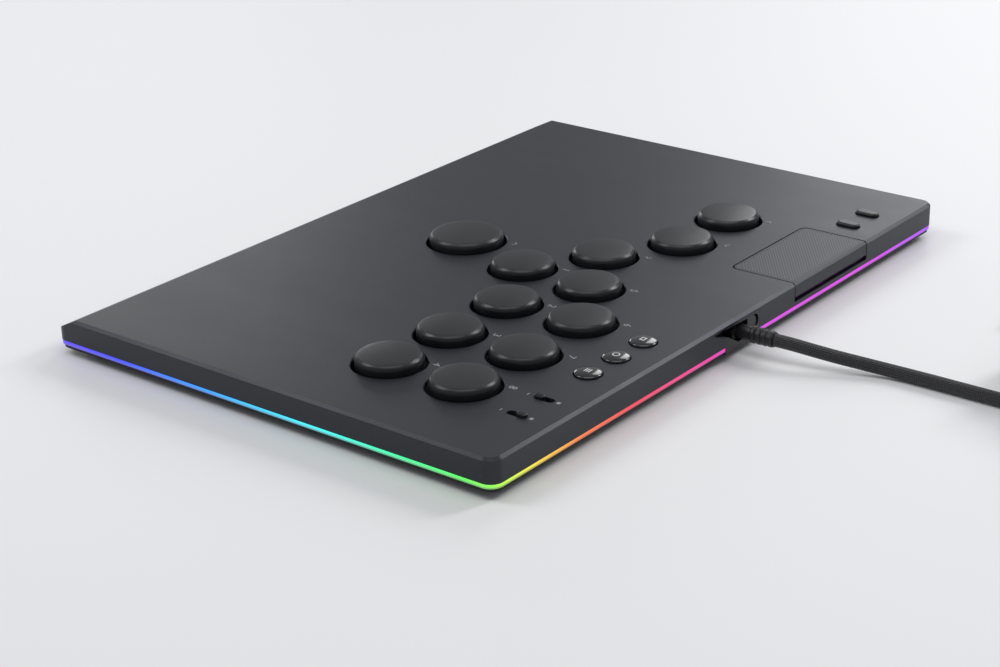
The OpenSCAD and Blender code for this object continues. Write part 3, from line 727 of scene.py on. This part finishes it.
def cutRoundHoles(body, s):
    buttons, menus = [], []
    for name in directionNames + actionNames:
        lowCap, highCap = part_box(f"{name}_cap")
        centre = (lowCap + highCap) / 2
        buttons.append((centre.x, centre.y, (highCap.x - lowCap.x) / 2 + s["buttonGap"]))
    for name in menuNames:
        lowKey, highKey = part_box(name)
        centre = (lowKey + highKey) / 2
        menus.append((centre.x, centre.y, (highKey.x - lowKey.x) / 2 - menuFlange + s["menuGap"]))
    holes = [beginPiece("hole", "primitive_cylinder_add", vertices=96, radius=radius, depth=s["holeDepth"],
                        location=(x, y, deck - mm)) for x, y, radius in buttons + menus]
    cutAway(body, joined(holes, "holes"))
    rim = 2 * s["rim"]
    cones = [beginPiece("rim", "primitive_cone_add", vertices=96, radius1=radius, radius2=radius + rim,
                        depth=rim, location=(x, y, deck)) for x, y, radius in buttons]
    cutAway(body, joined(cones, "rims"))


def cutSlots(body, s):
    slots = []
    for name in pillNames:
        lowKey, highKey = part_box(name)
        centre = (lowKey + highKey) / 2
        slots.append(stadiumTool(name, centre.x, centre.y, highKey.y - lowKey.y - s["pillLess"],
                                 highKey.x - lowKey.x - s["pillLess"], deck, s["holeDepth"]))
    length, width = s["slideSlot"]
    for name in knobNames:
        slots.append(stadiumTool(name, middle(name).x, middle("slide_switch_bodies").y, length, width,
                                 deck, s["holeDepth"]))
    cutAway(body, joined(slots, "slots"))


def cutPadOpening(body, s):
    # The pad's opening in the top, and the gap in the back wall under its lip.
    gap, reach, (depth, height) = s["padGap"], s["padReach"], s["lipSlot"]
    wide = padHigh.x - padLow.x + 2 * gap
    middleX = (padLow.x + padHigh.x) / 2
    opening = block("padOpening", (wide, reach, s["holeDepth"]),
                    (middleX, padLow.y - gap + reach / 2, deck + mm))
    roundUprights(opening, s["padCorner"], 8)
    cutAway(body, opening)
    cutAway(body, block("lipOpening", (wide, depth, height),
                        (middleX, shellHigh.y, lensHigh.z + s["wallUnderLip"] + height / 2)))


def makePortPlace(body, s, low):
    # The shoulder beside the port block, then the block's own opening.
    ceiling = deck - s["wall"]
    lowPort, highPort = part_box("port_block")
    width, depth = s["shoulder"]
    top = ceiling + s["bite"]
    shoulder = block("shoulder", (width, depth, top - low.z),
                     (highPort.x + width / 2, shellHigh.y - s["shoulderIn"], (top + low.z) / 2))
    cutAway(body, shoulder, "UNION")
    bottom = low.z - 2 * s["past"]
    wide = highPort.x - lowPort.x + s["portGap"]
    cutAway(body, block("portPlace", (wide, s["portDepth"], ceiling - bottom),
                        (0, shellHigh.y - s["portIn"], (ceiling + bottom) / 2)))


def scoopTool(c):
    # The hollow beside the plug, deepest at the plug and gone at its far end.
    plug = middle("plug_shell").z
    tool = block("scoop", c["size"], (c["right"], shellHigh.y, plug + c["up"]))
    floorX, floorUp = c["floorAt"]
    trim(tool, (floorX, shellHigh.y, plug + floorUp), Vector(c["floorFacing"]).normalized())
    trim(tool, (c["endAt"], shellHigh.y, plug), Vector(c["endFacing"]).normalized())
    trim(tool, (0, 0, deck - c["roof"]), (0, 0, 1))
    return tool


def makeShell(s):
    low = Vector((shellLow.x, shellLow.y, lensHigh.z))
    body = shellBlank(s, low)
    hollowShell(body, s, low)
    cutRoundHoles(body, s)
    cutSlots(body, s)
    cutPadOpening(body, s)
    makePortPlace(body, s, low)
    cutAway(body, scoopTool(scoop))
    softenEdges(body, s["edge"])
    give(body, shellFinish)
    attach(body, "case")
    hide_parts("top_shell")


makeShell(shell)
print("shell done")

# button caps

cap = {
    "dome": 0.45 * mm,       # how far the crown's rim lies under its middle
    "crownEdge": (0.12 * mm, 0.02 * mm),  # the last ring before the rim, in from it and above it
    "crease": 0.06 * mm,
    "drop": 0.53 * mm,       # where the shoulder starts
    "shoulder": 1.3 * mm,    # how far the shoulder reaches out from the crown
    "side": 2.1 * mm,        # and down
    "steepness": 60,         # degrees of the shoulder's curve, which ends upright
    "wall": 1.6 * mm,
    "height": 5 * mm,
    "chamfer": 0.15 * mm,    # round the foot
    "inner": 0.6 * mm,       # chamfer inside, under the roof
    "roof": 1.55 * mm,
    "crownRings": 6,
    "shoulderRings": 7,
}


def capOutline(c, radius):
    crown, inside = radius - c["shoulder"], radius - c["wall"]
    rings, steps = c["crownRings"], c["shoulderRings"]
    edgeIn, edgeUp = c["crownEdge"]
    start = math.radians(c["steepness"])
    outline = [(onAxis, 0)]
    outline += [(crown * ring / rings, -c["dome"] * (ring / rings) ** 2) for ring in range(1, rings)]
    outline += [(crown - edgeIn, edgeUp - c["dome"]), (crown, -c["dome"])]
    for step in range(steps + 1):
        angle = start * (1 - step / steps)
        out = (math.cos(angle) - math.cos(start)) / (1 - math.cos(start))
        down = (math.sin(start) - math.sin(angle)) / math.sin(start)
        outline.append((crown + c["crease"] + (c["shoulder"] - c["crease"]) * out,
                        -c["drop"] - c["side"] * down))
    outline += [(radius, c["chamfer"] - c["height"]), (radius - c["chamfer"], -c["height"]),
                (inside, -c["height"]), (inside, -c["drop"] - c["side"]),
                (inside - c["inner"], -c["roof"]), (onAxis, -c["roof"])]
    return outline


def makeCaps(c):
    patterns = {}
    for name in directionNames + actionNames:
        low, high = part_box(f"{name}_cap")
        centre = (low + high) / 2
        radius = (high.x - low.x) / 2
        at = Vector((centre.x, centre.y, high.z))
        key = round(radius / mm, 1)
        if key not in patterns:
            obj = lathe(f"{name}Cap", at, capOutline(c, radius), 96)
            patterns[key] = (obj, at)
        else:
            first, firstAt = patterns[key]
            obj = copyTo(first, f"{name}Cap", at - firstAt)
        give(obj, capFinish)
        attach(obj, f"{name}_button")
        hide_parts(f"{name}_cap")


makeCaps(cap)
print("caps done")

# return springs: the lower half stands on the housing, the upper half goes down inside it with its cap

spring = {
    "wire": 0.2 * mm,
    "lowerRadius": 4.9 * mm,
    "upperRadius": 4.4 * mm,
    "lower": (11.04 * mm, 14.6 * mm),
    "upper": (14.2 * mm, 17.5 * mm),
    "turns": 3,
}


def coilSpring(name, centre, radius, reach, c):
    wire, (low, high) = c["wire"], reach
    obj = beginPiece(name, "primitive_circle_add", vertices=8, radius=wire,
                     location=(radius, 0, low + wire), rotation=(math.radians(90), 0, 0))
    applyModifier(obj, "SCREW", axis="Z", angle=2 * math.pi, iterations=c["turns"],
                  screw_offset=(high - low - 2 * wire) / c["turns"], steps=20, render_steps=20)
    pick(obj, "verts", lambda vert: True)
    bpy.ops.mesh.fill_holes(sides=0)
    bpy.ops.mesh.select_all(action="SELECT")
    bpy.ops.mesh.normals_make_consistent(inside=False)
    done()
    obj.data.transform(Matrix.Translation((centre.x, centre.y, 0)))
    smoothByAngle(obj, 50)
    give(obj, steelFinish)
    return obj


def makeSprings(c):
    lowers = []
    for name in directionNames + actionNames:
        centre = middle(f"{name}_cap")
        lowers.append(coilSpring(f"{name}SpringFoot", centre, c["lowerRadius"], c["lower"], c))
        upper = coilSpring(f"{name}Spring", centre, c["upperRadius"], c["upper"], c)
        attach(upper, f"{name}_button")
    obj = joined(lowers, "springFeet")
    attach(obj, "case")
    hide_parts("return_springs")


makeSprings(spring)
print("springs done")

# small keys

menuKey = {
    "dome": 0.95 * mm,
    "flangeTop": 3.1 * mm,      # under the top of the key
    "flangeSlope": 0.05 * mm,
    "flangeOut": 1 * mm,
    "height": 4.1 * mm,
}

legend = {
    "sink": 0.035 * mm,         # how far under the key's top the middle of a sign lies
    "thick": 0.1 * mm,
    "bar": (2.6 * mm, 0.42 * mm),
    "pitch": 0.95 * mm,
    "ring": 1.25 * mm,
    "ringWire": 0.22 * mm,
    "ringSink": 0.02 * mm,
    "ringFlat": 0.35,
    "frame": (2.5 * mm, 2.0 * mm),
    "stroke": 0.42 * mm,
}

pill = {"foot": 3 * mm, "round": 1.05 * mm}

knob = {
    "foot": 3 * mm,
    "plateWidth": 5.2 * mm,
    "plateThick": 0.9 * mm,
    "grip": (2.7 * mm, 4.0 * mm),
    "gripCorner": 1.2 * mm,
    "gripBevel": 0.3 * mm,
    "groove": (4 * mm, 0.4 * mm, 0.9 * mm),
    "groovePitch": 0.85 * mm,
    "edge": 0.05 * mm,
}


def makeMenuKeys(c):
    for index, name in enumerate(menuNames):
        low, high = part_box(name)
        centre = (low + high) / 2
        radius = (high.x - low.x) / 2 - menuFlange
        outline = [(onAxis, 0)]
        for degrees in range(9, 82, 9):
            angle = math.radians(degrees)
            outline.append((radius * math.sin(angle), -c["dome"] * (1 - math.cos(angle))))
        outline += [(radius, -c["dome"]), (radius, -c["flangeTop"]),
                    (radius + c["flangeOut"], -c["flangeTop"] - c["flangeSlope"]),
                    (radius + c["flangeOut"], -c["height"]), (onAxis, -c["height"])]
        obj = lathe(f"menuKey{index + 1}", (centre.x, centre.y, high.z), outline, 64)
        give(obj, keyFinish)
        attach(obj, f"{name}_body")
        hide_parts(name)
        sign = [barSign, ringSign, frameSign][index](centre.x, centre.y, high.z - legend["sink"], legend)
        give(sign, legendFinish)
        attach(sign, f"{name}_body")


def barSign(x, y, z, c):
    bars = [block("bar", (*c["bar"], c["thick"]), (x, y + row * c["pitch"], z)) for row in (-1, 0, 1)]
    return joined(bars, "menuSign1")


def ringSign(x, y, z, c):
    sign = beginPiece("menuSign2", "primitive_torus_add", location=(x, y, z - c["ringSink"]),
                      major_radius=c["ring"], minor_radius=c["ringWire"], major_segments=40, minor_segments=8)
    pick(sign, "verts", lambda vert: True)
    bpy.ops.transform.resize(value=(1, 1, c["ringFlat"]), center_override=(x, y, z))
    done()
    smoothByAngle(sign, 40)
    return sign


def frameSign(x, y, z, c):
    sign = block("menuSign3", (*c["frame"], c["thick"]), (x, y, z))
    pick(sign, "faces", lambda face: abs(face.normal.z) > 0.9)
    bpy.ops.mesh.inset(thickness=c["stroke"], depth=0)
    bpy.ops.mesh.bridge_edge_loops()
    done()
    return sign


def makePills(c):
    for index, name in enumerate(pillNames):
        low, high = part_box(name)
        centre = (low + high) / 2
        width, length = high.x - low.x - 2 * pillFlange, high.y - low.y - 2 * pillFlange
        foot = deck - c["foot"]
        obj = block(f"pillKey{index + 1}", (width, length, high.z - foot),
                    (centre.x, centre.y, (high.z + foot) / 2))
        roundUprights(obj, width / 2 - stadiumSpare, 10)
        bevelRim(obj, high.z, c["round"], 5)
        smoothByAngle(obj, 40)
        flatNormals(obj)
        give(obj, capFinish)
        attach(obj, f"{name}_body")
        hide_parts(name)


def makeKnobs(c):
    for index, name in enumerate(knobNames):
        low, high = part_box(name)
        centre = (low + high) / 2
        foot = deck - c["foot"]
        plate = block("plate", (c["plateWidth"], high.y - low.y, c["plateThick"]),
                      (centre.x, centre.y, foot + c["plateThick"] / 2))
        grip = block("grip", (*c["grip"], high.z - foot), (centre.x, centre.y, (high.z + foot) / 2))
        roundUprights(grip, c["gripCorner"], 6)
        bevelRim(grip, high.z, c["gripBevel"], 3)
        grooves = [block("groove", c["groove"], (centre.x, centre.y + row * c["groovePitch"], high.z))
                   for row in (-1, 0, 1)]
        cutAway(grip, joined(grooves, "grooves"))
        obj = joined([grip, plate], f"slideKnob{index + 1}")
        softenEdges(obj, c["edge"])
        give(obj, capFinish)
        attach(obj, f"{name}_body")
        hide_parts(name)


makeMenuKeys(menuKey)
makePills(pill)
makeKnobs(knob)
print("keys done")

# click pad

pad = {
    "lip": 5.8 * mm,        # from the top down the back wall
    "thick": 1.6 * mm,
    "corner": 3 * mm,
    "bevel": 1.1 * mm,
    "seam": 0.12 * mm,      # left free at the front and the sides
    "edge": 0.12 * mm,
}


def makePad(p):
    top = padHigh.z
    seam = p["seam"]
    size = Vector((padHigh.x - padLow.x - 2 * seam, padHigh.y - padLow.y - seam, p["thick"]))
    obj = block("clickPad", size, ((padLow.x + padHigh.x) / 2, (padLow.y + padHigh.y + seam) / 2,
                                   top - p["thick"] / 2))
    roundUprights(obj, p["corner"], 8, lambda edge: edge.verts[0].co.y < padLow.y + mm)
    lipFront = padHigh.y - p["thick"]
    pick(obj, "faces", lambda face: True)
    bpy.ops.mesh.bisect(plane_co=(0, lipFront, 0), plane_no=(0, 1, 0))
    done()
    pick(obj, "faces", lambda face: face.normal.z < -0.9 and face.calc_center_median().y > lipFront)
    bpy.ops.mesh.extrude_region_move(TRANSFORM_OT_translate={"value": (0, 0, p["thick"] - p["lip"])})
    done()
    pick(obj, "edges", lambda edge: atHeight(top)(edge)
         and all(abs(v.co.y - padHigh.y) < hair for v in edge.verts))
    bpy.ops.mesh.bevel(offset=p["bevel"], segments=1, affect="EDGES")
    done()
    softenEdges(obj, p["edge"])
    give(obj, padFinish)
    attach(obj, "click_pad_body")
    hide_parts("click_pad")


makePad(pad)
print("pad done")

# printed marks beside the buttons: arrows and plain numbers

marks = {
    "size": 3.4 * mm,
    "thick": 0.03 * mm,
    "offset": (-8.3 * mm, 14.8 * mm),   # from the middle of its button
    "jumpLift": 4.4 * mm,               # more for the larger button
    "stroke": 0.42 * mm,
    "textSize": 1.35,                   # of a number, next to its size
    "arrowSize": 0.8,
    "arrowLean": 40,                    # degrees
    "dash": 1.5 * mm,
    "dashWidths": (0.4 * mm, 1.4 * mm),
    "dashLifts": (-6.9 * mm, 6.0 * mm),
}


def addNumber(text, x, y, size, name):
    deselectAll()
    bpy.ops.object.text_add(location=(0, 0, 0))
    obj = bpy.context.object
    obj.data.body = text
    obj.data.size = size * marks["textSize"]
    obj.data.extrude = marks["thick"] / 2
    obj.data.align_x, obj.data.align_y = "CENTER", "CENTER"
    bpy.ops.object.convert(target="MESH")
    obj = bpy.context.object
    obj.name = obj.data.name = name
    obj.data.transform(Matrix.Translation((x, y, deck)))
    return obj


def addArrow(x, y, size, turn, name):
    # An open arrow head of two strokes.
    strokes = []
    for lean in (-1, 1):
        stroke = block("stroke", (size * 0.75, marks["stroke"], marks["thick"]), (0, 0, 0))
        stroke.data.transform(Matrix.Rotation(math.radians(lean * marks["arrowLean"]), 4, "Z"))
        stroke.data.transform(Matrix.Translation((-size * 0.28, -lean * size * 0.22, 0)))
        strokes.append(stroke)
    obj = joined(strokes, name)
    obj.data.transform(Matrix.Rotation(math.radians(turn), 4, "Z"))
    obj.data.transform(Matrix.Translation((x, y, deck)))
    return obj


def makeMarks(m):
    made = []
    dx, dy = m["offset"]
    for name, turn in (("left", 180), ("down", -90), ("right", 0), ("jump", 90)):
        centre = middle(f"{name}_cap")
        lift = dy + (m["jumpLift"] if name == "jump" else 0)
        size = m["size"] * m["arrowSize"]
        made.append(addArrow(centre.x + dx, centre.y + lift, size, turn, f"{name}Mark"))
    for index, name in enumerate(actionNames):
        centre = middle(f"{name}_cap")
        made.append(addNumber(str(index + 1), centre.x + dx, centre.y + dy, m["size"], f"{name}Mark"))
    # a thin dash at one end of each slide switch, a thick one at the other
    y = middle("slide_switch_bodies").y
    for name in knobNames:
        for width, lift in zip(m["dashWidths"], m["dashLifts"]):
            made.append(block("dash", (m["dash"], width, m["thick"]), (middle(name).x, y + lift, deck)))
    obj = joined(made, "printedMarks")
    give(obj, printFinish)
    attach(obj, "case")


makeMarks(marks)
print("marks done")

# plug and strain relief


relief = {
    "rings": 4,
    "radius": 3.3 * mm,
    "taper": 0.08 * mm,     # each ring is this much smaller than the one before
    "neck": 2.6 * mm,       # radius between the rings
    "ends": (2.9 * mm, 2.75 * mm),
    "slope": 0.2 * mm,      # each ring's chamfer
    "before": 0.2 * mm,     # neck before and after each ring
    "after": 0.45 * mm,
}


def makeRelief(c):
    low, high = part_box("strain_relief")
    centre = (low + high) / 2
    length = high.y - low.y
    pitch = length / c["rings"]
    slope = c["slope"]
    outline = [(onAxis, 0), (c["ends"][0], 0)]
    for index in range(c["rings"]):
        radius = c["radius"] - c["taper"] * index
        start, end = index * pitch + c["before"], (index + 1) * pitch - c["after"]
        outline += [(c["neck"], start), (radius - slope, start + slope), (radius, start + 2 * slope),
                    (radius, end - 2 * slope), (radius - slope, end - slope), (c["neck"], end)]
    outline += [(c["ends"][1], length), (onAxis, length)]
    obj = lathe("plugRelief", (centre.x, low.y, centre.z), outline, 48, upright=False)
    give(obj, plugFinish)
    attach(obj, "case")
    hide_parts("strain_relief")
    return obj


reliefObj = makeRelief(relief)

# finishes of the pieces that keep their own shape

finishes = {
    "base_plate": baseFinish, "grip_mat": rubberFinish, "light_lens": lensFinish, "light_strip": stripFinish,
    "main_board": boardFinish, "board_parts": chipFinish, "usb_socket": steelFinish, "port_block": portFinish,
    "cable_lock": portFinish, "pad_hinge_pins": steelFinish, "switch_housings": switchFinish,
    "slide_switch_bodies": switchFinish, "click_switches": switchFinish, "case_screws": screwFinish,
    "board_screws": steelFinish, "cable_tie": strapFinish, "plug_head": plugFinish, "plug_shell": steelFinish,
    "host_plug_body": plugFinish, "host_plug_shell": steelFinish, "host_plug_relief": plugFinish,
}
for name in directionNames + actionNames:
    finishes[f"{name}_stem"] = stemFinish
for name, finish in finishes.items():
    if not cad[name].material_slots:
        cad[name].data.materials.append(finish)
    for place in cad[name].material_slots:
        place.material = finish

print("finishes given")

# room and light

room = {
    "floor": (0.8, 0.8, 0.81),
    "floorLevel": -0.2 * mm,
    "floorSize": 12,
    "world": (0.8, 0.82, 0.85),
    "worldStrength": 0.42,
}

lamps = {  # place, target, width and height, power
    "overhead": ((0.2, 0.2, 1.4), (0, 0, 0), (1.2, 0.9), 6),
    "behind": ((-1.25, -0.35, 0.75), (-0.08, 0.06, 0), (0.5, 0.8), 3.8),
    "lowLeft": ((-0.75, -1.3, 0.3), (0.05, 0, 0), (0.7, 0.25), 2),
    "leftBack": ((-0.95, 0.52, 0.78), (0, 0.1, 0), (0.25, 0.5), 5.5),
    "rightFront": ((0.5, -0.75, 0.95), (0.1, 0, 0), (0.35, 0.6), 3.8),
}


def addFloor():
    floor = beginPiece("floor", "primitive_plane_add", size=room["floorSize"],
                       location=(0, 0, room["floorLevel"]))
    recipe = Recipe("paleFloor", room["floor"], 0.6)
    recipe.bump(recipe.noise(300, 2), 0.05, 0.0001)
    give(floor, recipe.material)


def addLamp(name, place, target, size, power):
    data = bpy.data.lights.new(name, "AREA")
    data.shape, data.size, data.size_y = "RECTANGLE", *size
    data.energy = power
    lamp = bpy.data.objects.new(name, data)
    bpy.context.scene.collection.objects.link(lamp)
    aim = Vector(target) - Vector(place)
    lamp.matrix_world = Matrix.Translation(place) @ aim.to_track_quat("-Z", "Y").to_matrix().to_4x4()


def addLight():
    world = bpy.data.worlds.new("studio")
    bpy.context.scene.world = world
    world.use_nodes = True
    sky = world.node_tree.nodes["Background"]
    sky.inputs[0].default_value = (*room["world"], 1)
    sky.inputs[1].default_value = room["worldStrength"]
    for name, values in lamps.items():
        addLamp(name, *values)


addFloor()
addLight()
bpy.context.scene.view_settings.view_transform = "Standard"
